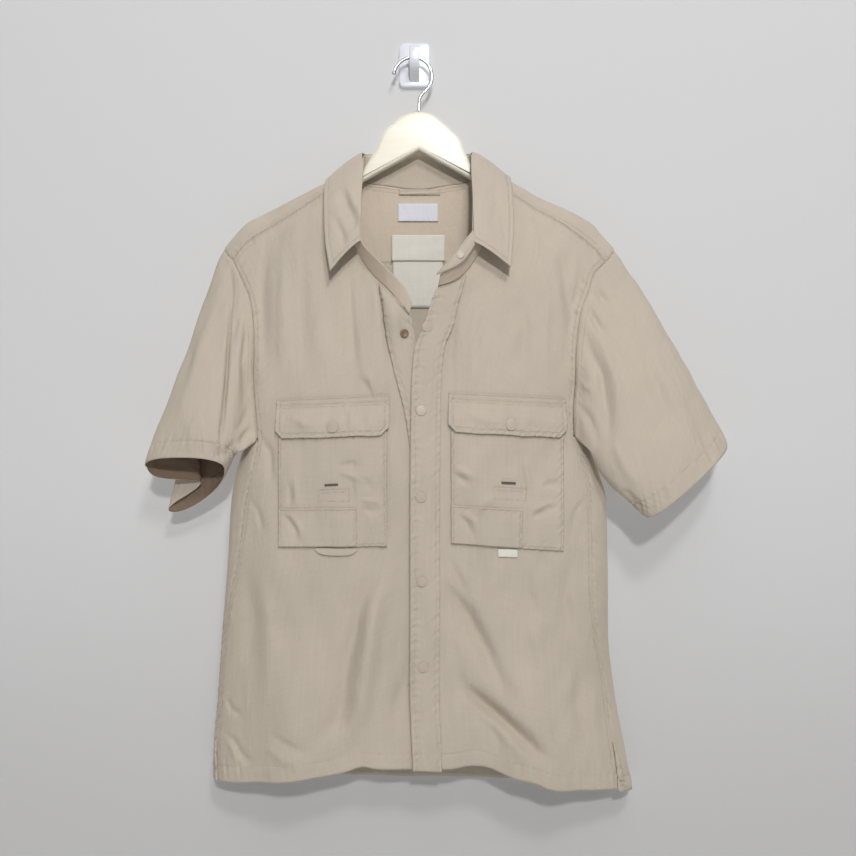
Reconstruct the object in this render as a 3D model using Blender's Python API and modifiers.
"""Work shirt on a wooden hanger, hung from an adhesive wall hook.

Every length in this file is in millimetres and becomes metres when a mesh is made. The origin is the middle
of the flat back of the wall hook's plate. +Z is up, +X is to the viewer's right, and the shirt faces -Y.
Right and left in names are the wearer's. The body is one closed section that changes with height: a front
sheet and a back sheet which meet at the two sides and along the shoulder ridge. Each cut piece is a patch
of that body, a ring loft or a strip laid on another piece, and has a wall of one cloth thickness.
"""
import bmesh
import bpy
import numpy as np
from math import pi

METRE = 0.001
CLOTH = 1.2
RIBBON = 0.8
SEAM_GAP = 0.4
ARMHOLE_GAP = 1.4
BACK_ARMHOLE_INSET = 1.9
UNDERARM_INSET = 1.4
LAID_GAP = 0.6
SQUARENESS = 2.35
ANGLE_SCALE = (120.0, 1.0)

BODY_COLUMNS = ("z", "left", "right", "middle", "front_depth", "back_depth")
BODY_SECTIONS = (
    (-100, -244, 255, -24, 58, 14),
    (-236, -240, 251, -23, 58, 14),
    (-300, -226, 236, -24, 60, 14),
    (-400, -213, 220, -26, 60, 15),
    (-468, -206, 212, -29, 58, 16),
    (-505, -216, 223, -29, 56, 16),
    (-543, -223, 234, -27, 55, 17),
    (-622, -228, 236, -26, 52, 17),
    (-704, -235, 237, -23, 48, 15),
    (-782, -241, 246, -20, 46, 12),
    (-846, -246, 258, -20, 45, 12),
    (-900, -247, 268, -20, 45, 12),
)
RIDGE_COLUMNS = ("x", "z")
SHOULDER_RIDGE = (
    (-262, -300), (-246, -258), (-234.5, -237.7), (-223.4, -223.5), (-205, -204.1), (-187.7, -194.4),
    (-150.7, -175.8), (-111.2, -155.3), (-80, -139), (3, -108), (84, -135), (118.9, -153.4),
    (148.4, -170.3), (188.2, -188.3), (218.9, -206.3), (228.7, -218.3), (245.2, -237), (258, -260), (275, -300),
)
FALL_COLUMNS = ("drop", "front_share", "back_share")
FALL_FROM_RIDGE = (
    (0, 0.0, 0.0), (8, 0.06, 0.30), (14, 0.13, 0.55), (22, 0.22, 0.80), (43, 0.43, 1.0), (70, 0.65, 1.0),
    (105, 0.84, 1.0), (150, 0.95, 1.0), (210, 1.0, 1.0), (900, 1.0, 1.0),
)
RIDGE_ROUND = 8.4
FOLD_COLUMNS = ("x_start", "z_start", "x_end", "z_end", "width", "depth")
FRONT_FOLDS = (
    (-145, -690, -152, -910, 48, 13),
    (-66, -760, -60, -910, 30, -4),
    (122, -720, 166, -915, 42, 17),
    (54, -748, 150, -850, 17, -7),
    (34, -640, 86, -730, 18, -5),
    (-26, -612, -66, -800, 24, 5),
    (-30, -262, 34, -330, 75, 8),
    (180, -232, 194, -322, 12, -4),
    (-178, -240, -184, -380, 14, -2.5),
)
BACK_FOLDS = (
    (-90, -420, -120, -880, 40, 4),
    (100, -460, 130, -880, 45, 4),
    (10, -560, 0, -880, 40, -4),
)
OVERLAP_STEP = 4.7
OVERLAP_START = -52
OVERLAP_RUN = 42

FORWARD_SEAM_COLUMNS = ("x", "drop")
FORWARD_SEAM_RIGHT = ((-220.6, 30), (-185, 24), (-142, 20), (-110, 15), (-82, 12))
FORWARD_SEAM_LEFT = ((86, 15), (118, 18), (168, 21), (195, 27), (221, 31), (232, 31))
BACK_SEAM_Z = -252
RIDGE_END_RIGHT = -233
RIDGE_END_LEFT = 245
YOKE_END_TURN = 13
YOKE_END_DROP = 30.5
YOKE_END_REACH = 60

OUTLINE_COLUMNS = ("x", "z")
NECK_RIGHT = ((-82, -152), (-83, -180), (-79, -210), (-70, -238), (-53, -268), (-27.5, -296.5), (-5, -322))
NECK_LEFT = ((86, -152), (91, -182), (89, -210), (81, -238.5), (65.5, -266), (49, -282.7), (28.2, -290))
NECK_BACK = ((-82, -12), (-80.5, 0), (-66, 17), (-45, 33), (3, 53), (51, 34), (72, 18), (84.5, 0), (86, -15))
EDGE_RIGHT = ((-5, -322), (0.3, -340), (4.9, -363), (14.3, -398), (23.6, -433), (30.7, -480), (33, -540),
              (33, -657), (33, -777), (33, -861))
EDGE_LEFT = ((28.2, -290), (18.9, -312), (10.8, -336), (1.4, -358), (-2.1, -387), (-3.3, -422), (-4.6, -539),
             (-4.6, -657), (-4.7, -776), (-1.5, -863))
ARMHOLE_RIGHT = ((-220.6, -250.4), (-213, -264.6), (-197.5, -298.5), (-191.6, -332), (-191, -365),
                 (-191.5, -390), (-190.5, -420), (-188, -447), (-186, -470))
ARMHOLE_LEFT = ((232, -253.5), (217.5, -268), (208.4, -292), (200.6, -312), (195.1, -343), (192.6, -368),
                (192, -400), (189.5, -433), (190.5, -465))
BACK_ARMHOLE_RIGHT = ((-220, -252), (-208, -300), (-201, -340), (-196, -390), (-197, -430), (-201, -452))
BACK_ARMHOLE_LEFT = ((231, -252), (216, -300), (208, -340), (202, -390), (203, -427), (207, -448))
UNDERARM_Z_RIGHT = -466
UNDERARM_Z_LEFT = -461
SIDE_RIGHT = ((-186, -470), (-193, -505), (-202, -541), (-212, -609), (-221, -650), (-229, -694),
              (-234, -739), (-238, -799), (-241, -843), (-238, -883))
SIDE_LEFT = ((190.5, -465), (202.6, -493), (211, -523), (214, -589), (215, -655), (222, -711), (231, -760),
             (238, -820), (244, -862), (246, -891))
HEM_RIGHT = ((-238, -883), (-208.6, -880), (-174.7, -876), (-147.9, -873), (-122, -869.5), (-96.4, -866.5),
             (-79, -863), (-62.8, -858.5), (-45, -860), (-22.6, -861), (33, -861))
HEM_LEFT = ((-1.5, -863), (21.3, -860), (47.4, -858.5), (68.7, -856), (87.4, -857.5), (115.3, -868),
            (141.7, -873), (162.3, -881), (207.5, -887), (246, -891))
BACK_HEM_RIGHT_Z = -880
BACK_HEM_MIDDLE_Z = -886
BACK_HEM_LEFT_Z = -896
VENT_LENGTH = 58
VENT_SPREAD_RIGHT = 4
VENT_SPREAD_LEFT = 10

SLEEVE_COLUMNS = ("along", "x_outer", "z_outer", "y_outer", "x_inner", "z_inner", "y_inner", "front", "back",
                  "front_rise", "back_drop", "tuck")
SLEEVE_RIGHT = (
    (0.00, -233, -237, -23, -187, -466, -42, 24, 12, 0, 0, 0),
    (0.22, -251, -292, -30, -204, -480, -58, 30, 12, 2, 8, 0),
    (0.45, -270, -350, -40, -214, -487, -64, 29, 20, 4, 22, 0),
    (0.70, -293, -418, -53, -219, -494, -70, 26, 28, 8, 44, 22),
    (1.00, -319, -501, -64, -223, -501, -76, 20, 34, 12, 66, 56),
)
SLEEVE_LEFT = (
    (0.00, 245, -237, -23, 190, -462, -42, 24, 12, 0, 0, 0),
    (0.22, 270, -278, -27, 207, -482, -58, 30, 12, 0, 0, 0),
    (0.45, 298, -325, -33, 220, -505, -64, 32, 20, 0, 0, 0),
    (0.70, 334, -388, -41, 240, -530, -69, 33, 29, -3, 0, 0),
    (1.00, 374, -474, -50, 273, -559, -72, 33, 34, -6, 0, 0),
)
SLEEVE_SQUARENESS = 2.3
SLEEVE_BLEND = 0.42
SLEEVE_START = 4.5
TUCK_ANGLE = -0.50
TUCK_WIDTH = 0.26
TUCK_RISE = 0.32

COLLAR_COLUMNS = ("fold_x", "fold_y", "fold_z", "edge_x", "edge_y", "edge_z")
COLLAR_LEAF = (
    (-59.7, -96, -239.5, -96.7, -97, -273.0),
    (-61.0, -88, -222.0, -100.5, -91, -254.0),
    (-61.3, -76, -203.0, -103.6, -84, -235.0),
    (-62.0, -60, -175.0, -106.6, -68, -203.0),
    (-61.0, -42, -140.0, -108.5, -46, -168.0),
    (-61.5, -22, -120.0, -107.5, -21, -148.5),
    (-57.5, -12.5, -117.5, -103.0, -7, -156.0),
    (-42.0, -9, -114.0, -80.0, -5, -174.0),
    (3.0, -8.5, -110.0, 3.0, -4.5, -183.0),
    (50.0, -9, -114.0, 88.0, -5, -174.0),
    (65.5, -12.5, -117.5, 113.0, -7, -155.0),
    (69.0, -22, -119.5, 117.0, -21, -147.0),
    (68.0, -42, -140.0, 118.0, -46, -167.0),
    (69.0, -60, -175.0, 117.8, -67, -200.0),
    (68.4, -77, -204.0, 116.4, -81, -233.0),
    (68.0, -89, -223.0, 114.6, -89, -252.0),
    (67.5, -96, -240.7, 112.7, -95, -268.1),
)
STAND_FRONT_RIGHT = ((-1.9, -94, -310.0), (-11.1, -98, -291.0), (-33, -99, -268.0))
STAND_FRONT_LEFT = ((58.1, -99, -257.3), (41.9, -100, -271.0), (31.0, -99, -277.0))
NECK_CENTRE = (3.0, -52.0)
LEAF_BULGE = 3.0
FOLD_STEP = 0.9
LEAF_CLEARANCE = 3.6
STAND_SEAM = 1.1

PLACKET_WIDTH = 35
LOOP_CLOSER = 0.15
POCKET_COLUMNS = ("side", "x_left", "z_left", "x_right", "z_right", "bottom_left", "bottom_right", "patch_end")
POCKETS = (
    ("right", -159.5, -430, -31.5, -425, -595.5, -593, 0.72),
    ("left", 43.5, -422, 176.5, -428, -590, -600, 0.62),
)
FLAP_RISE = 9
FLAP_DEPTH = 37
FLAP_OVERHANG = 3
FLAP_CHAMFER = 9
BAG_TOP_BELOW_FLAP = 14
BAG_BULGE = 3
PATCH_HEIGHT = 46

SNAP_COLUMNS = ("name", "x", "z")
PLACKET_SNAPS = (("placket_snap_1", 15.4, -336), ("placket_snap_2", 8.6, -434), ("placket_snap_3", 8.4, -535),
                 ("placket_snap_4", 9.6, -634), ("placket_snap_5", 11.0, -736.5))
SNAP_RADIUS = 6.3
SNAP_HEIGHT = 1.6
SOCKET_RADIUS = 5.2
CROWN_LIFT = 0.8
PLACKET_CROWN = 1.4

HANGER_Y = -23.4
HANGER_THICKNESS = 13
HANGER_EDGE_ROUND = 4.5
ARM_CLEARANCE = 4.8
ARM_HEIGHT = 20
HANGER_NECK = ((-82, -155), (-68, -147), (-60, -134), (-53.5, -124), (-46.5, -114), (-41, -101), (-37, -92),
               (-28, -83.5), (-14, -72.5), (5.6, -67.5), (23, -71.5), (36, -82), (46, -91), (56, -102),
               (61, -114.5), (65.5, -124), (70, -136), (76, -147), (88, -151))
HANGER_APEX = (5.6, -115)
ARM_END_RIGHT = -219
ARM_END_LEFT = 229
ARM_START_RIGHT = -102
ARM_START_LEFT = 108
NECK_TOP_Z = -67.5
WIRE_RADIUS = 1.9
RING_CENTRE = (-1.9, -22.5)
RING_RADIUS = 23.6
WIRE_Y = -19.5
STEM_X = 5.6
PLATE_SIZE = (39, 5, 55)
PLATE_Z = -3
PLATE_ROUND = 7
HOOK_WIDTH = 12.5
HOOK_SIDE = ((-4, -25), (-15, -18.5), (-23, -13), (-27, -7), (-28, 3), (-27.5, 11), (-25.8, 13.5), (-24.2, 11),
             (-23.8, 3), (-22.5, -2.6), (-16, -3.4), (-10, -2.6), (-4, 3))


def column(rows, names, name):
    """One named column of a table as an array."""
    index = names.index(name)
    return np.array([row[index] for row in rows], dtype=float)


def smooth(x, xs, ys):
    """Monotone cubic through the points xs, ys (xs rising): no overshoot between rows."""
    step = np.diff(xs)
    slope = np.diff(ys) / step
    inner = np.where(slope[:-1] * slope[1:] > 0, 2 * slope[:-1] * slope[1:] / (slope[:-1] + slope[1:] + 1e-12), 0)
    inner = np.where(np.abs(slope[:-1] + slope[1:]) < 1e-9, 0, inner)
    tangent = np.concatenate(([slope[0]], inner, [slope[-1]]))
    x = np.clip(x, xs[0], xs[-1])
    i = np.clip(np.searchsorted(xs, x) - 1, 0, len(xs) - 2)
    t = (x - xs[i]) / step[i]
    a = (1 + 2 * t) * (1 - t) ** 2
    b = t * (1 - t) ** 2
    c = t * t * (3 - 2 * t)
    d = t * t * (t - 1)
    return a * ys[i] + b * step[i] * tangent[i] + c * ys[i + 1] + d * step[i] * tangent[i + 1]


def read(rows, names, key, name, at):
    """A column read at any value of the key column."""
    keys = column(rows, names, key)
    values = column(rows, names, name)
    order = np.argsort(keys)
    return smooth(at, keys[order], values[order])


def section(name, z):
    """A size of the body's section at height z."""
    return read(BODY_SECTIONS, BODY_COLUMNS, "z", name, z)


def ridge_z(x):
    """Height of the shoulder ridge; inside the neck it is the line that the fall is measured from."""
    return read(SHOULDER_RIDGE, RIDGE_COLUMNS, "x", "z", x)


def fold_relief(folds, x, z):
    """Soft ridges and troughs: a bell across each fold's line, tapered at its two ends."""
    relief = np.zeros(np.broadcast(x, z).shape)
    for x0, z0, x1, z1, width, depth in folds:
        length = np.hypot(x1 - x0, z1 - z0)
        ux, uz = (x1 - x0) / length, (z1 - z0) / length
        along = ((x - x0) * ux + (z - z0) * uz) / length
        across = (x - x0) * -uz + (z - z0) * ux
        taper = np.sin(np.clip(along, 0, 1) * pi) ** 0.8
        taper = np.where(along > 0.5, np.where(z1 < -880, 1, taper), taper)
        taper = np.where(along > 1, np.where(z1 < -880, 1, 0), taper)
        relief = relief + depth * taper * np.exp(-(across / width) ** 2)
    return relief


def section_share(x, z):
    """How far across the section x lies (-1 to 1), and the share of the full depth there."""
    left, right = section("left", z), section("right", z)
    across = np.clip((x - (left + right) / 2) / ((right - left) / 2), -1, 1)
    return across, (1 - np.abs(across) ** SQUARENESS) ** (1 / SQUARENESS)


def ridge_round(share, drop):
    """Half-thickness of the ridge as it rounds over the hanger's arm: a quarter circle."""
    turn = np.clip(drop / RIDGE_ROUND, 0, 1)
    return RIDGE_ROUND * np.sqrt(turn * (2 - turn)) * np.clip(2.5 * share, 0, 1)


def sheet_y(x, z, depth_name, share_name, folds, side):
    """Outer face of one sheet: the rounded ridge, then the fall to the section's depth, and its folds."""
    _, share = section_share(x, z)
    drop = np.maximum(ridge_z(x) - z, 0)
    fall = read(FALL_FROM_RIDGE, FALL_COLUMNS, "drop", share_name, drop)
    relief = fold_relief(folds, x, z) * np.clip(share * 1.4, 0, 1)
    round_part = ridge_round(share, drop)
    depth = round_part + np.maximum(section(depth_name, z) * share - round_part, 0) * fall + relief
    return section("middle", z) + side * depth


def front_y(x, z):
    """Outer face of the front sheet."""
    return sheet_y(x, z, "front_depth", "front_share", FRONT_FOLDS, -1)


def back_y(x, z):
    """Outer face of the back sheet, which stays off the wall."""
    return np.minimum(sheet_y(x, z, "back_depth", "back_share", BACK_FOLDS, 1), -2.0)


def angle_of(x, z, sheet):
    """Angle round the section of a point on the front (0 to pi) or back (pi to 2 pi) sheet."""
    across, _ = section_share(x, z)
    front = np.arccos(np.sign(across) * np.abs(across) ** (SQUARENESS / 2))
    return front if sheet == "front" else 2 * pi - front


def body_point(angle, z):
    """Point of the body from its angle round the section and its height."""
    left, right = section("left", z), section("right", z)
    across = np.sign(np.cos(angle)) * np.abs(np.cos(angle)) ** (2 / SQUARENESS)
    x = (left + right) / 2 + across * (right - left) / 2
    turn = np.mod(angle, 2 * pi)
    y = np.where(turn <= pi, front_y(x, z), back_y(x, z))
    return np.stack([x, y, z], axis=-1)


def ridge_point(x, drop):
    """Point near the shoulder ridge: a negative drop lies on the front, a positive one on the back."""
    z = ridge_z(x) - np.abs(drop)
    return np.stack([x, np.where(drop < 0, front_y(x, z), back_y(x, z)), z], axis=-1)


def curve(points, shares):
    """Smooth curve through points (Catmull-Rom on chord length), read at shares 0 to 1 of its length."""
    points = np.array(points, dtype=float)
    chord = np.concatenate(([0], np.cumsum(np.linalg.norm(np.diff(points, axis=0), axis=1))))
    chord = chord / chord[-1]
    middle = (points[2:] - points[:-2]) / (chord[2:] - chord[:-2])[:, None]
    ends = [(points[1] - points[0]) / chord[1], (points[-1] - points[-2]) / (1 - chord[-2])]
    tangent = np.concatenate(([ends[0]], middle, [ends[1]]))
    shares = np.clip(shares, 0, 1)
    i = np.clip(np.searchsorted(chord, shares) - 1, 0, len(chord) - 2)
    step = (chord[i + 1] - chord[i])[:, None]
    t = ((shares - chord[i])[:, None]) / step
    a = (1 + 2 * t) * (1 - t) ** 2
    b = t * (1 - t) ** 2
    c = t * t * (3 - 2 * t)
    d = t * t * (t - 1)
    return a * points[i] + b * step * tangent[i] + c * points[i + 1] + d * step * tangent[i + 1]


def path(points, shares):
    """Curve through angle, z points with no overshoot, read at shares of its length."""
    chord = np.concatenate(([0], np.cumsum(np.linalg.norm(np.diff(points * ANGLE_SCALE, axis=0), axis=1))))
    return np.stack([smooth(shares * chord[-1], chord, points[:, k]) for k in range(2)], axis=-1)


def by_station(points, shares):
    """Smooth curve through points that are evenly numbered, whatever their distances."""
    points = np.array(points, dtype=float)
    tangent = np.gradient(points, axis=0)
    place_on = np.clip(shares, 0, 1) * (len(points) - 1)
    i = np.clip(place_on.astype(int), 0, len(points) - 2)
    t = (place_on - i)[:, None]
    a = (1 + 2 * t) * (1 - t) ** 2
    b = t * (1 - t) ** 2
    c = t * t * (3 - 2 * t)
    d = t * t * (t - 1)
    return a * points[i] + b * tangent[i] + c * points[i + 1] + d * tangent[i + 1]


def resample(points, count):
    """The same polyline with evenly spaced points."""
    length = np.concatenate(([0], np.cumsum(np.linalg.norm(np.diff(points, axis=0), axis=1))))
    even = np.linspace(0, length[-1], count)
    return np.stack([np.interp(even, length, points[:, k]) for k in range(3)], axis=-1)


def coons(top, bottom, left, right, across):
    """Grid filled between four edges: top and bottom run left to right, left and right run down."""
    s = across[None, :, None]
    t = np.linspace(0, 1, len(left))[:, None, None]
    vertical = (1 - t) * top[None] + t * bottom[None]
    level = (1 - s) * left[:, None] + s * right[:, None]
    corners = ((1 - t) * ((1 - s) * top[0] + s * top[-1]) + t * ((1 - s) * bottom[0] + s * bottom[-1]))
    return vertical + level - corners


def inset(grid, top=0.0, bottom=0.0, left=0.0, right=0.0):
    """Pulls the edges of a grid of points in along the grid, to leave the gap of a seam."""
    grid = grid.copy()
    rows = grid.shape[0]
    left, right = (np.broadcast_to(side, rows)[:, None] for side in (left, right))
    top = np.broadcast_to(top, grid.shape[1])[:, None]

    def pull(edge, inner, amount):
        step = inner - edge
        return edge + step / np.linalg.norm(step, axis=-1, keepdims=True) * amount

    grid[0] = pull(grid[0], grid[1], top)
    grid[-1] = pull(grid[-1], grid[-2], bottom)
    grid[:, 0] = pull(grid[:, 0], grid[:, 1], left)
    grid[:, -1] = pull(grid[:, -1], grid[:, -2], right)
    return grid


def colour(name, rgb, roughness, metallic=0.0):
    """Plain Principled material."""
    material = bpy.data.materials.new(name)
    material.use_nodes = True
    shader = material.node_tree.nodes["Principled BSDF"]
    shader.inputs["Base Color"].default_value = (*rgb, 1)
    shader.inputs["Roughness"].default_value = roughness
    shader.inputs["Metallic"].default_value = metallic
    return material


def place(name, mesh, material, parts):
    """Object of its own for a mesh, in the parts collection."""
    mesh.materials.clear()
    mesh.materials.append(material)
    thing = bpy.data.objects.new(name, mesh)
    parts.objects.link(thing)
    return thing


def sheet(name, grid, outward, material, parts, thickness=CLOTH, ring=False):
    """Cloth wall from a grid of points on its outer face; outward tells which side is out."""
    rows, columns = grid.shape[:2]
    index = np.arange(rows * columns).reshape(rows, columns)
    if ring:
        index = np.concatenate([index, index[:, :1]], axis=1)
    a, b = index[:-1, :-1].ravel(), index[:-1, 1:].ravel()
    c, d = index[1:, 1:].ravel(), index[1:, :-1].ravel()
    faces = np.concatenate([np.stack([a, b, c], 1), np.stack([a, c, d], 1)])
    points = grid.reshape(-1, 3)
    corner = points[faces]
    normal = np.cross(corner[:, 1] - corner[:, 0], corner[:, 2] - corner[:, 0])
    if ring:
        facing = ((corner.mean(1) - points.mean(0)) * normal).sum()
    else:
        facing = (normal.sum(0) * np.array(outward)).sum()
    if facing < 0:
        faces = faces[:, ::-1]
    mesh = bpy.data.meshes.new(name)
    mesh.from_pydata((points * METRE).tolist(), [], faces.tolist())
    mesh.shade_smooth()
    thing = place(name, mesh, material, parts)
    wall = thing.modifiers.new("wall", "SOLIDIFY")
    wall.thickness = thickness * METRE
    wall.offset = -1
    return thing


def rows_between(breaks, counts):
    """Shares down a side, with a row exactly at each break."""
    parts = [np.linspace(a, b, n, endpoint=False) for a, b, n in zip(breaks[:-1], breaks[1:], counts)]
    return np.concatenate(parts + [[1.0]])


def chain(first, second, shares, turn):
    """Two curves end to end, which meet at the share called turn."""
    one = curve(first, shares[shares < turn] / turn)
    two = curve(second, (shares[shares >= turn] - turn) / (1 - turn))
    return np.concatenate([one, two])


def on_angles(flat, which):
    """Turns x, z points of a sheet into angle, z points."""
    return np.stack([angle_of(flat[..., 0], flat[..., 1], which), flat[..., 1]], axis=-1)


SEAM_ROWS = 15
NECK_TURN = 0.24
ARM_TURN = 0.36
FRONT_BREAKS = (0, NECK_TURN, ARM_TURN, 1)
FRONT_COUNTS = (7, 4, SEAM_ROWS)
FRONT_SPANS = 12


def side_spacing():
    """Shares across a front from its side seam, closer together where the section turns."""
    return np.linspace(0, 1, FRONT_SPANS + 1) ** 1.3


def front_grid(side):
    """Front panel from shoulder to hem: neck and front edge on one side, armhole and side seam on the other."""
    shares = rows_between(FRONT_BREAKS, FRONT_COUNTS)
    across = side_spacing()
    if side == "left":
        across = 1 - across[::-1]
    if side == "right":
        outer = chain(ARMHOLE_RIGHT, SIDE_RIGHT, shares, ARM_TURN)
        inner = chain(NECK_RIGHT, EDGE_RIGHT, shares, NECK_TURN)
        seam, hem = FORWARD_SEAM_RIGHT, curve(HEM_RIGHT, across)
        xs = outer[0, 0] + (inner[0, 0] - outer[0, 0]) * across
        left, right = outer, inner
    else:
        outer = chain(ARMHOLE_LEFT, SIDE_LEFT, shares, ARM_TURN)
        inner = chain(NECK_LEFT, EDGE_LEFT, shares, NECK_TURN)
        seam, hem = FORWARD_SEAM_LEFT, curve(HEM_LEFT, across)
        xs = inner[0, 0] + (outer[0, 0] - inner[0, 0]) * across
        left, right = inner, outer
    drop = read(seam, FORWARD_SEAM_COLUMNS, "x", "drop", xs)
    top = np.stack([xs, ridge_z(xs) - drop], axis=-1)
    top[0], top[-1] = left[0], right[0]
    hem[0], hem[-1] = left[-1], right[-1]
    edges = [on_angles(edge, "front") for edge in (top, hem, left, right)]
    flat = coons(*edges, across)
    grid = body_point(flat[..., 0], flat[..., 1])
    if side == "right":
        grid[..., 1] += overlap_step(grid[..., 0], grid[..., 2])
    return grid


def overlap_step(x, z):
    """The under front steps back where the other front laps over it."""
    run = np.clip((x - OVERLAP_START) / OVERLAP_RUN, 0, 1)
    return OVERLAP_STEP * run * run * (3 - 2 * run) * np.clip((-300 - z) / 40, 0, 1)


def yoke_end_x(drop, side):
    """Where the yoke ends over the shoulder, by the drop from the ridge."""
    turn = YOKE_END_TURN * (np.abs(drop) / YOKE_END_DROP) ** 1.2
    return RIDGE_END_RIGHT + turn if side == "right" else RIDGE_END_LEFT - turn


YOKE_NECK_COLUMNS = 12
YOKE_FRONT_ROWS = 3
YOKE_BACK_ROWS = 5


def yoke_grid():
    """Yoke from the forward seams over both shoulders to the straight seam across the back."""
    right = side_spacing()[:-1]
    x_right = FORWARD_SEAM_RIGHT[0][0] + (NECK_RIGHT[0][0] - FORWARD_SEAM_RIGHT[0][0]) * right
    neck = curve(NECK_BACK, np.linspace(0, 1, YOKE_NECK_COLUMNS + 1))
    left = (1 - side_spacing()[::-1])[1:]
    x_left = NECK_LEFT[0][0] + (FORWARD_SEAM_LEFT[-1][0] - NECK_LEFT[0][0]) * left
    top_x = np.concatenate([x_right, neck[:, 0], x_left])
    top_drop = np.concatenate([
        -read(FORWARD_SEAM_RIGHT, FORWARD_SEAM_COLUMNS, "x", "drop", x_right), neck[:, 1],
        -read(FORWARD_SEAM_LEFT, FORWARD_SEAM_COLUMNS, "x", "drop", x_left)])
    ends = BACK_ARMHOLE_RIGHT[0][0], BACK_ARMHOLE_LEFT[0][0]
    bottom_x = ends[0] + (ends[1] - ends[0]) * (top_x - top_x[0]) / (top_x[-1] - top_x[0])
    bottom_drop = ridge_z(bottom_x) - BACK_SEAM_Z
    middle_drop = np.maximum(0, top_drop + 10)
    front = (1 - np.linspace(0, 1, YOKE_FRONT_ROWS, endpoint=False)[:, None]) ** 1.9
    back = np.linspace(0, 1, YOKE_BACK_ROWS + 1)[:, None] ** 2.2
    drop = np.concatenate([middle_drop + (top_drop - middle_drop) * front,
                           middle_drop + (bottom_drop - middle_drop) * back])
    share = (drop - drop[:1]) / (drop[-1:] - drop[:1])
    x = top_x + (bottom_x - top_x) * share
    for edge, side in ((0, "right"), (-1, "left")):
        shift = yoke_end_x(drop[:, edge], side) - x[:, edge]
        reach = np.clip(1 - np.abs(x - x[:, edge][:, None]) / YOKE_END_REACH, 0, 1) ** 2
        x = x + shift[:, None] * reach
    return ridge_point(x, drop)


BACK_BREAKS = (0, 0.36, 1)
BACK_COUNTS = (9, SEAM_ROWS)
BACK_SPANS = 22


def back_edge(side, shares):
    """Edge of the back panel: back armhole, round the underarm, then the side seam."""
    if side == "right":
        armhole, under, seam, end = BACK_ARMHOLE_RIGHT, UNDERARM_Z_RIGHT, SIDE_RIGHT, pi
    else:
        armhole, under, seam, end = BACK_ARMHOLE_LEFT, UNDERARM_Z_LEFT, SIDE_LEFT, 2 * pi
    turn = BACK_BREAKS[1]
    armhole = on_angles(np.array(armhole, dtype=float), "back")
    side_seam = on_angles(curve(seam, (shares[shares >= turn] - turn) / (1 - turn)), "front")
    start = on_angles(np.array(seam[:1], dtype=float), "front")
    if side == "left":
        side_seam[:, 0] += 2 * pi
        start[:, 0] += 2 * pi
    arch = np.concatenate([armhole, [(end, under)], start])
    return np.concatenate([path(arch, shares[shares < turn] / turn), side_seam])


def back_grid():
    """Back panel, from the yoke seam to the hem and round both sides to the side seams."""
    shares = rows_between(BACK_BREAKS, BACK_COUNTS)
    left, right = back_edge("right", shares), back_edge("left", shares)
    even = np.linspace(-1, 1, BACK_SPANS + 1)
    across = (1 + np.sign(even) * (1 - (1 - np.abs(even)) ** 1.6)) / 2
    xs = BACK_ARMHOLE_RIGHT[0][0] + (BACK_ARMHOLE_LEFT[0][0] - BACK_ARMHOLE_RIGHT[0][0]) * across
    top = on_angles(np.stack([xs, np.full_like(xs, BACK_SEAM_Z)], axis=-1), "back")
    hem_z = smooth(across, np.array([0, 0.12, 0.5, 0.88, 1.0]), np.array(
        [SIDE_RIGHT[-1][1], BACK_HEM_RIGHT_Z, BACK_HEM_MIDDLE_Z, BACK_HEM_LEFT_Z, SIDE_LEFT[-1][1] - 4]))
    hem = np.stack([left[-1, 0] + (right[-1, 0] - left[-1, 0]) * across, hem_z], axis=-1)
    left[-1, 1], right[-1, 1] = hem_z[0], hem_z[-1]
    flat = coons(top, hem, left, right, across)
    grid = body_point(flat[..., 0], flat[..., 1])
    for edge, inner, spread in ((0, 1, VENT_SPREAD_RIGHT), (-1, -2, VENT_SPREAD_LEFT)):
        fall = np.clip((SIDE_LEFT[-1][1] + VENT_LENGTH - grid[:, edge, 2]) / VENT_LENGTH, 0, 1)
        step = grid[:, inner] - grid[:, edge]
        step = step / np.linalg.norm(step, axis=-1, keepdims=True)
        grid[:, edge] += step * (spread * fall)[:, None]
    return grid


def armhole_loop(side, count):
    """Closed armhole from the ridge down the front, round the underarm and up the back, evenly spaced."""
    shares = np.linspace(0, 1, 60)
    if side == "right":
        front, back, seam = ARMHOLE_RIGHT, BACK_ARMHOLE_RIGHT, SIDE_RIGHT
    else:
        front, back, seam = ARMHOLE_LEFT, BACK_ARMHOLE_LEFT, SIDE_LEFT
    over_front = np.linspace(0, -YOKE_END_DROP, 12)[:-1]
    over_back = np.linspace(YOKE_END_DROP + 1.5, 0, 12)[:-1]
    down = on_angles(curve(front, shares), "front")
    up = back_edge(side, np.linspace(0, BACK_BREAKS[1] - 1e-6, 60))[::-1]
    if side == "left":
        up = up - np.array([2 * pi, 0]) * (up[:, :1] > 2 * pi)
    loop = np.concatenate([
        ridge_point(yoke_end_x(over_front, side), over_front),
        body_point(down[:, 0], down[:, 1]),
        body_point(up[:, 0], up[:, 1]),
        ridge_point(yoke_end_x(over_back, side), over_back)])
    loop = np.concatenate([loop, loop[:1]])
    return resample(loop, count + 1)[:-1]


SLEEVE_POINTS = 32
SLEEVE_ROWS = 10


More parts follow.
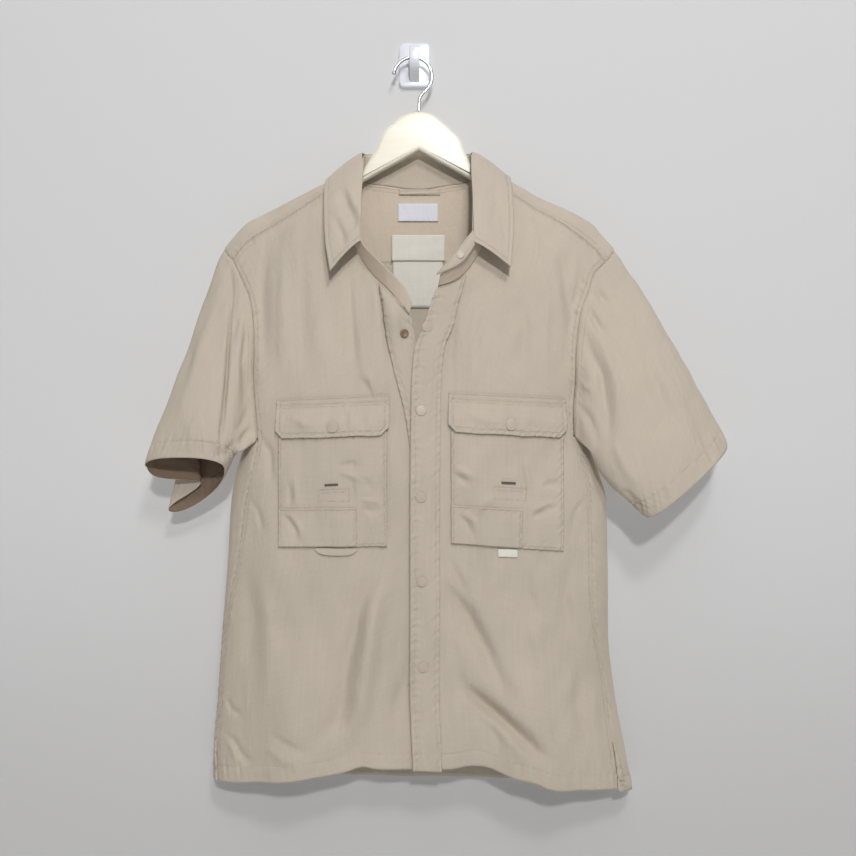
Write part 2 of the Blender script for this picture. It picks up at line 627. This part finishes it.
def sleeve_ring(table, along, angle):
    """Ring of a sleeve: outer fold at 0, front at a quarter turn, inner fold at a half turn, then the back."""
    size = {name: read(table, SLEEVE_COLUMNS, "along", name, along) for name in SLEEVE_COLUMNS[1:]}
    power = 2 / SLEEVE_SQUARENESS
    out = np.sign(np.cos(angle)) * np.abs(np.cos(angle)) ** power
    fore = np.sign(np.sin(angle)) * np.abs(np.sin(angle)) ** power
    x = (size["x_outer"] + size["x_inner"]) / 2 + out * (size["x_outer"] - size["x_inner"]) / 2
    z = (size["z_outer"] + size["z_inner"]) / 2 + out * (size["z_outer"] - size["z_inner"]) / 2
    z = z + size["front_rise"] * np.maximum(0, fore)
    z = z - size["back_drop"] * np.maximum(0, -fore) * (0.75 + 0.35 * out)
    y = (size["y_outer"] + size["y_inner"]) / 2 + out * (size["y_outer"] - size["y_inner"]) / 2
    y = y - np.where(fore > 0, size["front"], size["back"]) * fore
    turn = np.mod(angle - TUCK_ANGLE + pi, 2 * pi) - pi
    bell = np.exp(-(turn / TUCK_WIDTH) ** 2)
    inward = np.sign(size["x_inner"] - size["x_outer"])
    x = x + inward * size["tuck"] * bell
    z = z + size["tuck"] * TUCK_RISE * bell
    return np.stack([x, y, z], axis=-1)


def sleeve_grid(side):
    """Sleeve: rings that start as the armhole and turn into the sleeve's own sections."""
    table = SLEEVE_RIGHT if side == "right" else SLEEVE_LEFT
    first = armhole_loop(side, SLEEVE_POINTS)
    angle = np.linspace(0, 2 * pi, SLEEVE_POINTS, endpoint=False)[None, :]
    along = np.concatenate([[0, 0.04], np.linspace(0.12, 1, SLEEVE_ROWS - 2)])[:, None]
    rings = sleeve_ring(table, along, angle)
    blend = np.clip(along / SLEEVE_BLEND, 0, 1)
    blend = (blend * blend * (3 - 2 * blend))[..., None]
    reach = rings - sleeve_ring(table, np.zeros_like(along), angle)
    slope = 1.2 * np.maximum(0, np.cos(angle)) + 0.8 * np.maximum(0, -np.cos(angle))
    outward = np.stack([np.full_like(slope, -1.0 if side == "right" else 1.0), 0 * slope, -slope], axis=-1)
    outward = outward / np.linalg.norm(outward, axis=-1, keepdims=True)
    start = first[None] + outward * SLEEVE_START * np.clip(along / 0.04, 0, 1)[..., None]
    return (1 - blend) * (start + reach) + blend * rings


def neck_loop(count):
    """Neckline from the right front edge up, round the back of the neck and down to the left front edge."""
    shares = np.linspace(0, 1, 50)
    right = on_angles(curve(NECK_RIGHT, shares)[::-1], "front")
    left = on_angles(curve(NECK_LEFT, shares), "front")
    back = curve(NECK_BACK, shares)[1:-1]
    loop = np.concatenate([body_point(right[:, 0], right[:, 1]), ridge_point(back[:, 0], back[:, 1]),
                           body_point(left[:, 0], left[:, 1])])
    return resample(loop, count)


COLLAR_POINTS = 37
STAND_ROWS = 2
LEAF_ROWS = 6


def fold_line():
    """The line where the collar turns over, with the low front ends of the stand."""
    leaf = [row[:3] for row in COLLAR_LEAF]
    return np.array(list(STAND_FRONT_RIGHT) + leaf + list(STAND_FRONT_LEFT), dtype=float)


def stand_grid():
    """Collar stand: from the neckline up to the fold line."""
    lower = neck_loop(COLLAR_POINTS)
    upper = resample(curve(fold_line(), np.linspace(0, 1, 200)), COLLAR_POINTS)
    up = upper - lower
    lower = lower + up / np.linalg.norm(up, axis=1, keepdims=True) * STAND_SEAM
    rise = np.linspace(0, 1, STAND_ROWS + 1)[:, None, None]
    return (1 - rise) * lower[None] + rise * upper[None]


def square_to(vectors, along):
    """Unit vectors with their part along another direction taken out."""
    along = along / np.linalg.norm(along, axis=1, keepdims=True)
    vectors = vectors - (vectors * along).sum(axis=1, keepdims=True) * along
    return vectors / np.linalg.norm(vectors, axis=1, keepdims=True)


def leaf_grid():
    """Collar leaf: from the fold line out over the stand and down to the collar's edge."""
    shares = np.linspace(0, 1, COLLAR_POINTS)
    fold = by_station([row[:3] for row in COLLAR_LEAF], shares)
    edge = by_station([row[3:] for row in COLLAR_LEAF], shares)
    lower = neck_loop(200)
    upper = resample(curve(fold_line(), np.linspace(0, 1, 200)), 200)
    nearest = np.linalg.norm(fold[:, None] - upper[None], axis=2).argmin(axis=1)
    along = np.gradient(fold, axis=0)
    to_neck = square_to(lower[nearest] - fold, along)
    to_edge = square_to(edge - fold, along)
    apart = to_edge - to_neck
    apart = apart / np.linalg.norm(apart, axis=1, keepdims=True)
    past = -(to_edge + to_neck)
    past = past / np.linalg.norm(past, axis=1, keepdims=True)
    start = fold + past * FOLD_STEP + apart * LEAF_CLEARANCE
    down = np.linspace(0, 1, LEAF_ROWS)[:, None] ** 1.3
    grid = (1 - down)[..., None] * start[None] + down[..., None] * edge[None]
    grid = grid + (LEAF_BULGE * np.sin(pi * down ** 0.7))[..., None] * apart[None]
    grid[..., 1] = np.minimum(grid[..., 1], -1.5)
    return grid


def laid(x, z, lift, under=False):
    """Points x, z of the front, lifted off its outer face along the outward normal."""
    def height(px, pz):
        return front_y(px, pz) + (overlap_step(px, pz) if under else 0)

    step = 1.0
    slope_x = (height(x + step, z) - height(x - step, z)) / (2 * step)
    slope_z = (height(x, z + step) - height(x, z - step)) / (2 * step)
    normal = np.stack([slope_x, -np.ones_like(slope_x), slope_z], axis=-1)
    normal = normal / np.linalg.norm(normal, axis=-1, keepdims=True)
    return np.stack([x, height(x, z), z], axis=-1) + normal * np.asarray(lift)[..., None], normal


PLACKET_ROWS = 24
PLACKET_SPANS = 3


def placket_grid(side):
    """Placket strip along a front edge, on top of the front panel."""
    edge = curve(EDGE_LEFT if side == "left" else EDGE_RIGHT, np.linspace(0.012, 0.998, PLACKET_ROWS + 1))
    inward = 1 if side == "left" else -1
    across = np.linspace(0.004, 1, PLACKET_SPANS + 1)
    x = edge[:, :1] + inward * PLACKET_WIDTH * across
    z = np.repeat(edge[:, 1:], PLACKET_SPANS + 1, axis=1)
    rise = np.clip((edge[:, 1:] - edge[:1, 1:] + 60) / 60, 0, 1)
    z = z + rise * across * PLACKET_WIDTH * (0.16 if side == "left" else 0.75)
    crown = PLACKET_CROWN * np.clip((z + 390) / 60, 0, 1) + (0.4 if side == "right" else 0)
    grid, _ = laid(x, z, LAID_GAP + CLOTH + crown, under=side == "right")
    return grid


def pocket_frame(pocket, across, down):
    """x, z of a place in a pocket: across 0 to 1 from its left edge, down in millimetres from its top seam."""
    _, x_left, z_left, x_right, z_right, bottom_left, bottom_right, _ = pocket
    height = (z_left - bottom_left) * (1 - across) + (z_right - bottom_right) * across
    x = x_left + (x_right - x_left) * across
    z = z_left + (z_right - z_left) * across - down * height / (z_left - bottom_left)
    return x, z


def pocket_height(pocket):
    """Drop of a pocket from its top seam to its lower edge at the left side."""
    return pocket[2] - pocket[5]


def bag_lift(across, down, height):
    """Height of the pocket bag over the panel: close at its stitched edges, slack in the middle."""
    share = np.clip((down - BAG_TOP_BELOW_FLAP) / (height - BAG_TOP_BELOW_FLAP), 0, 1)
    slack = np.clip(4 * across * (1 - across), 0, 1) ** 0.7 * np.clip((1 - share) * 3.2, 0, 1) ** 0.8
    return LAID_GAP + CLOTH + BAG_BULGE * slack


def pocket_pieces(pocket, cloth, parts):
    """Bag, lower patch and flap of one chest pocket."""
    side = pocket[0]
    height = pocket_height(pocket)
    out = (0, -1, 0)
    across, down = np.meshgrid(np.linspace(0, 1, 11), np.linspace(BAG_TOP_BELOW_FLAP, height, 10))
    x, z = pocket_frame(pocket, across, down)
    bag, _ = laid(x, z, bag_lift(across, down, height))
    sheet(f"pocket_bag_{side}", bag, out, cloth, parts)
    across, down = np.meshgrid(np.linspace(0.0, pocket[7], 8), np.linspace(height - PATCH_HEIGHT, height - 1, 5))
    x, z = pocket_frame(pocket, across, down)
    patch, _ = laid(x, z, bag_lift(across, down, height) + LAID_GAP + CLOTH)
    sheet(f"pocket_patch_{side}", patch, out, cloth, parts)
    levels = np.array([-FLAP_RISE, 0, 9, 18, FLAP_DEPTH - FLAP_CHAMFER, FLAP_DEPTH])
    narrow = np.array([0, 0, 0, 0, 0, FLAP_CHAMFER])
    width = pocket[3] - pocket[1]
    s = np.linspace(0, 1, 12)[None, :]
    start = (-FLAP_OVERHANG + narrow[:, None]) / width
    across = start + (1 - 2 * start) * s
    x, z = pocket_frame(pocket, across, np.repeat(levels[:, None], 12, axis=1))
    over = np.clip((levels - 2) / 16, 0, 1)[:, None]
    slack = np.clip(4 * across * (1 - across), 0, 1) ** 0.7
    lift = LAID_GAP + CLOTH + over * (LAID_GAP + CLOTH + BAG_BULGE * slack + 1.5)
    flap, _ = laid(x, z, lift)
    sheet(f"pocket_flap_{side}", flap, out, cloth, parts)


def strip(name, x0, x1, z0, z1, lift, material, parts, thickness=CLOTH, spans=(6, 2), tilt=0.0):
    """Small rectangular piece laid on the front."""
    x, z = np.meshgrid(np.linspace(x0, x1, spans[0] + 1), np.linspace(z0, z1, spans[1] + 1))
    z = z + tilt * (x - x0)
    grid, _ = laid(x, z, np.full_like(x, lift))
    return sheet(name, grid, (0, -1, 0), material, parts, thickness)


def inside_label(name, x0, x1, z0, z1, depth, material, parts, spans=(6, 3)):
    """Label sewn inside the back, facing the viewer; depth counts from the back's outer face."""
    x, z = np.meshgrid(np.linspace(x0, x1, spans[0] + 1), np.linspace(z0, z1, spans[1] + 1))
    grid = np.stack([x, back_y(x, z) - depth, z], axis=-1)
    return sheet(name, grid, (0, -1, 0), material, parts, RIBBON)


def disc(name, x, z, lift, radius, height, material, parts, under=False):
    """Domed snap cap seated on the front, turned to its normal."""
    base, normal = laid(np.array([x], dtype=float), np.array([z], dtype=float), np.array([lift]), under)
    bpy.ops.mesh.primitive_cylinder_add(vertices=14, radius=radius * METRE, depth=height * METRE)
    thing = bpy.context.object
    centre = (base[0] + normal[0] * height / 2) * METRE
    thing.location = centre
    yaw = np.arctan2(normal[0][1], normal[0][0])
    lean = np.arccos(normal[0][2])
    thing.rotation_euler = (0, lean, yaw)
    edge = thing.modifiers.new("edge", "BEVEL")
    edge.width = 0.5 * METRE
    edge.segments = 1
    edge.limit_method = "ANGLE"
    thing.name = name
    thing.data.name = name
    thing.data.materials.append(material)
    for home in list(thing.users_collection):
        home.objects.unlink(thing)
    parts.objects.link(thing)
    return thing


def rounded_board(name, outline, centre_y, material, parts):
    """Board in the wall's plane from its x, z outline, with quarter-round edges on both faces."""
    outline = np.array(outline, dtype=float)
    ahead = np.roll(outline, -1, axis=0) - outline
    ahead = ahead / np.linalg.norm(ahead, axis=1, keepdims=True)
    behind = np.roll(ahead, 1, axis=0)
    area = np.sum(outline[:, 0] * np.roll(outline[:, 1], -1) - outline[:, 1] * np.roll(outline[:, 0], -1))
    outward = np.sign(area) * np.stack([ahead[:, 1] + behind[:, 1], -ahead[:, 0] - behind[:, 0]], axis=1)
    outward = outward / np.linalg.norm(outward, axis=1, keepdims=True)
    straight = HANGER_THICKNESS / 2 - HANGER_EDGE_ROUND
    rings = []
    for side in (-1, 1):
        for turn in np.radians((90, 60, 30, 0) if side < 0 else (0, 30, 60, 90)):
            flat = outline - outward * HANGER_EDGE_ROUND * (1 - np.cos(turn))
            y = centre_y + side * (straight + HANGER_EDGE_ROUND * np.sin(turn))
            rings.append(np.stack([flat[:, 0], np.full(len(flat), y), flat[:, 1]], axis=1))
    count = len(outline)
    points = np.concatenate(rings) * METRE
    faces = [[r * count + k, r * count + (k + 1) % count, (r + 1) * count + (k + 1) % count, (r + 1) * count + k]
             for r in range(len(rings) - 1) for k in range(count)]
    last = (len(rings) - 1) * count
    faces += [list(range(count))[::-1], [last + k for k in range(count)]]
    mesh = bpy.data.meshes.new(name)
    mesh.from_pydata(points.tolist(), [], faces)
    work = bmesh.new()
    work.from_mesh(mesh)
    bmesh.ops.triangulate(work, faces=work.faces)
    bmesh.ops.recalc_face_normals(work, faces=work.faces)
    work.to_mesh(mesh)
    work.free()
    return place(name, mesh, material, parts)


def hanger(wood, parts):
    """Wooden hanger: neck with two arms that follow the shoulder ridge."""
    top_right = [(x, ridge_z(x) - ARM_CLEARANCE) for x in np.linspace(ARM_END_RIGHT, ARM_START_RIGHT, 8)]
    top_left = [(x, ridge_z(x) - ARM_CLEARANCE) for x in np.linspace(ARM_START_LEFT, ARM_END_LEFT, 8)]
    lower_left = [(x, z - ARM_HEIGHT) for x, z in top_left[:-1]][::-1]
    lower_right = [(x, z - ARM_HEIGHT) for x, z in top_right[1:]][::-1]
    end_left = [(ARM_END_LEFT + 1, top_left[-1][1] - 9), (ARM_END_LEFT - 6, top_left[-1][1] - 17)]
    end_right = [(ARM_END_RIGHT + 6, top_right[0][1] - 17), (ARM_END_RIGHT - 1, top_right[0][1] - 9)]
    outline = (top_right + list(HANGER_NECK) + top_left + end_left + lower_left + [HANGER_APEX]
               + lower_right + end_right)
    rounded_board("hanger_wood", outline, HANGER_Y, wood, parts)


def wire_route():
    """Hook wire: round the open ring from its ball end and down to the hanger's neck."""
    turns = np.radians(np.linspace(172, -42, 22))
    ring = [(RING_CENTRE[0] + RING_RADIUS * np.cos(a), RING_CENTRE[1] + RING_RADIUS * np.sin(a)) for a in turns]
    stem = [(9.0, -45.0), (6.4, -50.0), (STEM_X, -55.0), (STEM_X, NECK_TOP_Z + 0.4)]
    return ring + stem


def hook_wire(steel, parts):
    """Steel wire hook with a ball at its free end."""
    shape = bpy.data.curves.new("hanger_wire", "CURVE")
    shape.dimensions = "3D"
    shape.bevel_depth = WIRE_RADIUS * METRE
    shape.bevel_resolution = 2
    shape.use_fill_caps = True
    route = wire_route()
    spline = shape.splines.new("POLY")
    spline.points.add(len(route) - 1)
    for number, (point, (x, z)) in enumerate(zip(spline.points, route)):
        lean = np.clip((z + 45) / -20, 0, 1) * (HANGER_Y - WIRE_Y)
        point.co = (x * METRE, (WIRE_Y + lean) * METRE, z * METRE, 1)
        point.radius = 1.5 if number == 0 else 1.0
    shape.materials.append(steel)
    thing = bpy.data.objects.new("hanger_wire", shape)
    parts.objects.link(thing)


def wall_hook(plastic, parts, guides):
    """Adhesive wall hook: a plate with a curled tongue, moulded in one."""
    bpy.ops.mesh.primitive_cube_add(size=METRE)
    plate = bpy.context.object
    plate.name = "wall_hook"
    plate.data.name = "wall_hook"
    plate.scale = PLATE_SIZE
    plate.location = (0, -PLATE_SIZE[1] / 2 * METRE, PLATE_Z * METRE)
    bpy.ops.object.transform_apply(location=False, rotation=False, scale=True)
    weights = plate.data.attributes.new("bevel_weight_edge", "FLOAT", "EDGE")
    for edge in plate.data.edges:
        ends = [plate.data.vertices[v].co for v in edge.vertices]
        along_y = abs(ends[0].y - ends[1].y) > PLATE_SIZE[1] * METRE / 2
        weights.data[edge.index].value = 1.0 if along_y else 0.0
    corner = plate.modifiers.new("corners", "BEVEL")
    corner.limit_method = "WEIGHT"
    corner.width = PLATE_ROUND * METRE
    corner.segments = 6
    shape = bpy.data.curves.new("tongue", "CURVE")
    shape.dimensions = "2D"
    shape.fill_mode = "BOTH"
    shape.extrude = HOOK_WIDTH / 2 * METRE
    spline = shape.splines.new("POLY")
    spline.points.add(len(HOOK_SIDE) - 1)
    for point, (y, z) in zip(spline.points, HOOK_SIDE):
        point.co = (y * METRE, z * METRE, 0, 1)
    spline.use_cyclic_u = True
    guide = bpy.data.objects.new("tongue_curve", shape)
    guide.rotation_euler = (pi / 2, 0, pi / 2)
    guides.objects.link(guide)
    bpy.context.view_layer.update()
    evaluated = guide.evaluated_get(bpy.context.evaluated_depsgraph_get())
    mesh = bpy.data.meshes.new_from_object(evaluated)
    tongue = bpy.data.objects.new("tongue", mesh)
    tongue.matrix_world = guide.matrix_world
    guides.objects.link(tongue)
    weld(mesh)
    bpy.data.objects.remove(guide)
    tongue.hide_render = True
    tongue.display_type = "WIRE"
    join = plate.modifiers.new("tongue", "BOOLEAN")
    join.operation = "UNION"
    join.object = tongue
    plate.data.materials.append(plastic)
    for home in list(plate.users_collection):
        home.objects.unlink(plate)
    parts.objects.link(plate)


def weld(mesh):
    """Closes the loose caps of a mesh made from a curve."""
    work = bmesh.new()
    work.from_mesh(mesh)
    bmesh.ops.remove_doubles(work, verts=work.verts, dist=1e-6)
    bmesh.ops.recalc_face_normals(work, faces=work.faces)
    work.to_mesh(mesh)
    work.free()


def snaps(metal, dark, parts):
    """Press snaps: caps down the placket, on the flaps and the collar, and the open socket at the neck."""
    on_placket = 2 * LAID_GAP + CLOTH
    for name, x, z in PLACKET_SNAPS:
        crown = CROWN_LIFT if name == "placket_snap_1" else 0
        disc(name, x, z, on_placket + crown, SNAP_RADIUS, SNAP_HEIGHT, metal, parts)
    disc("placket_socket", -12.4, -344, on_placket + 1.9, SOCKET_RADIUS, 1.4, dark, parts, under=True)
    for pocket in POCKETS:
        x, z = pocket_frame(pocket, np.array(0.52), np.array(FLAP_DEPTH - 12.0))
        lift = 3 * LAID_GAP + 2 * CLOTH + BAG_BULGE + 1.6
        disc(f"flap_snap_{pocket[0]}", float(x), float(z), lift, SNAP_RADIUS + 0.6, SNAP_HEIGHT, metal, parts)


def cloth_pieces(cloth, parts):
    """Body panels, yoke, sleeves, collar, plackets and pockets."""
    half = SEAM_GAP / 2
    arm = ARMHOLE_GAP / 2
    right = inset(front_grid("right"), top=half, left=half, right=half)
    sheet("front_right", right, (0, -1, 0), cloth, parts)
    left = inset(front_grid("left"), top=half, left=half, right=half)
    sheet("front_left", left, (0, -1, 0), cloth, parts)
    sheet("yoke", inset(yoke_grid(), top=half, bottom=3 * half, left=arm, right=arm), (0, 0, 1), cloth, parts)
    sides = np.where(np.arange(sum(BACK_COUNTS) + 1) <= BACK_COUNTS[0], BACK_ARMHOLE_INSET, half)
    back = inset(back_grid(), top=0.6, left=sides, right=sides)
    sheet("back", back, (0, 1, 0), cloth, parts)
    for side in ("right", "left"):
        ring = np.linspace(0, 2 * pi, SLEEVE_POINTS, endpoint=False)
        grid = inset(sleeve_grid(side), top=arm + UNDERARM_INSET * np.exp(-((ring - pi) / 0.7) ** 2))
        sheet(f"sleeve_{side}", grid, None, cloth, parts, ring=True)
    sheet("collar_stand", stand_grid(), (0, 1, 0), cloth, parts)
    sheet("collar_leaf", leaf_grid(), (0, 1, 1), cloth, parts)
    for side in ("right", "left"):
        sheet(f"placket_{side}", placket_grid(side), (0, -1, 0), cloth, parts)
    for pocket in POCKETS:
        pocket_pieces(pocket, cloth, parts)
    strip("pocket_tab", -115.7, -66.6, -596, -603.5, LAID_GAP + CLOTH, cloth, parts)


def labels(white, cloth, parts):
    """Bare labels and the hanging loop inside the neck, and the bare label at a pocket's foot."""
    strip("pocket_label", 98.4, 121.8, -598.5, -605.5, LAID_GAP + RIBBON, white, parts, RIBBON, (3, 1), -0.05)
    inner = CLOTH + LAID_GAP + RIBBON
    inside_label("neck_label", -20.6, 29.0, -177, -199, inner, white, parts)
    inside_label("care_label", -28.6, 37.4, -216, -248, inner + LAID_GAP + RIBBON, white, parts)
    inside_label("care_leaf", -27.0, 35.0, -219, -306, inner, white, parts, (6, 6))
    inside_label("hanging_loop", -19.3, 31.5, -163.5, -170.0, inner - LOOP_CLOSER, cloth, parts, (6, 2))


def build():
    """Clears the scene and makes every piece."""
    for thing in list(bpy.data.objects):
        bpy.data.objects.remove(thing)
    parts = bpy.data.collections.new("work_shirt")
    guides = bpy.data.collections.new("cutters")
    for home in (parts, guides):
        bpy.context.scene.collection.children.link(home)
    cloth = colour("cloth", (0.47, 0.40, 0.32), 0.9)
    white = colour("label", (0.85, 0.85, 0.82), 0.8)
    metal = colour("snap", (0.47, 0.40, 0.32), 0.5)
    dark = colour("socket", (0.30, 0.26, 0.21), 0.4, 0.6)
    wood = colour("wood", (0.90, 0.84, 0.70), 0.45)
    steel = colour("steel", (0.60, 0.60, 0.62), 0.25, 1.0)
    plastic = colour("plastic", (0.80, 0.83, 0.88), 0.3)
    cloth_pieces(cloth, parts)
    labels(white, cloth, parts)
    snaps(metal, dark, parts)
    hanger(wood, parts)
    hook_wire(steel, parts)
    wall_hook(plastic, parts, guides)


build()
